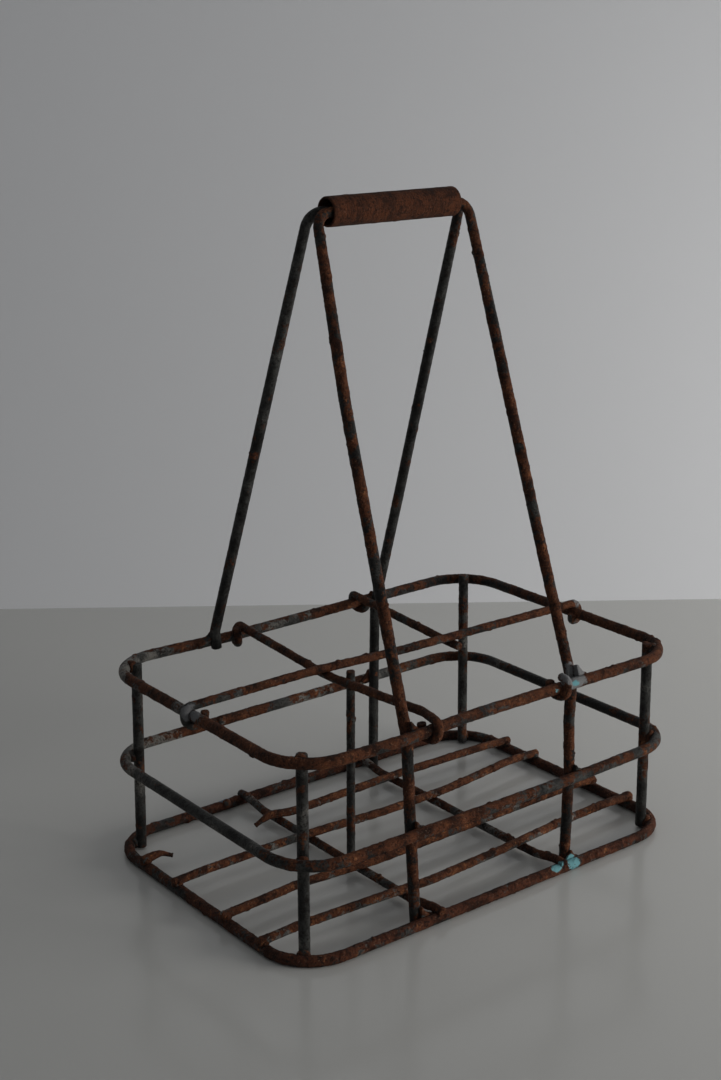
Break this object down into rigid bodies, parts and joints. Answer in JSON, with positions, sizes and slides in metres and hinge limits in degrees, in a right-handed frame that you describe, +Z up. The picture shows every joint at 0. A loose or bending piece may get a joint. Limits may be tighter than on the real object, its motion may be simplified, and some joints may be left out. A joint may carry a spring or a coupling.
{
  "type": "milk bottle carrier",
  "caption": "Open wire carrier for milk bottles, with divided cells, welded rings and corner posts, and a loose sleeve handgrip on two wire bails. Old, rusted and partly broken.",
  "frame": {"origin": "on the ground, under the middle of the carrier", "axes": "+X along the long side, to the right as seen from the front; +Y from the front to the back; +Z up"},
  "size_m": [0.3156, 0.2207, 0.4127],
  "materials": {
    "aged_galvanised_wire": "old zinc coat, dull grey with red-brown rust",
    "rusted_light_wire": "matt rust over what is left of a zinc coat",
    "rusted_sleeve_tube": "matt rust-brown tube, worn by hands",
    "weld_metal": "rough rusted weld beads"
  },
  "bodies": {
    "crate": {"back_bail": "aged_galvanised_wire", "bottom_ring": "aged_galvanised_wire", "bottom_ring_welds": "weld_metal", "corner_post_back_left": "aged_galvanised_wire", "corner_post_back_right": "aged_galvanised_wire", "corner_post_front_left": "aged_galvanised_wire", "corner_post_front_right": "aged_galvanised_wire", "divider_stake": "rusted_light_wire", "floor_cross_wire_left": "rusted_light_wire", "floor_cross_wire_right": "rusted_light_wire", "floor_long_wire_front": "rusted_light_wire", "floor_long_wire_front_middle": "rusted_light_wire", "floor_long_wire_rear": "rusted_light_wire", "floor_long_wire_rear_middle": "rusted_light_wire", "floor_long_wire_rear_stub": "rusted_light_wire", "floor_wire_welds": "weld_metal", "front_bail": "aged_galvanised_wire", "left_cross_divider": "rusted_light_wire", "long_divider": "rusted_light_wire", "middle_ring": "aged_galvanised_wire", "middle_ring_welds": "weld_metal", "right_cross_divider": "rusted_light_wire", "right_cross_divider_remnant": "rusted_light_wire", "top_ring": "aged_galvanised_wire", "top_ring_welds": "weld_metal"},
    "grip": {"grip_sleeve": "rusted_sleeve_tube"}
  },
  "joints": [
    {"name": "grip_spin", "type": "hinge", "parent": "crate", "child": "grip", "pos_m": [-0.0012, 0, 0.404], "axis": [1, 0, 0], "continuous": true}
  ]
}
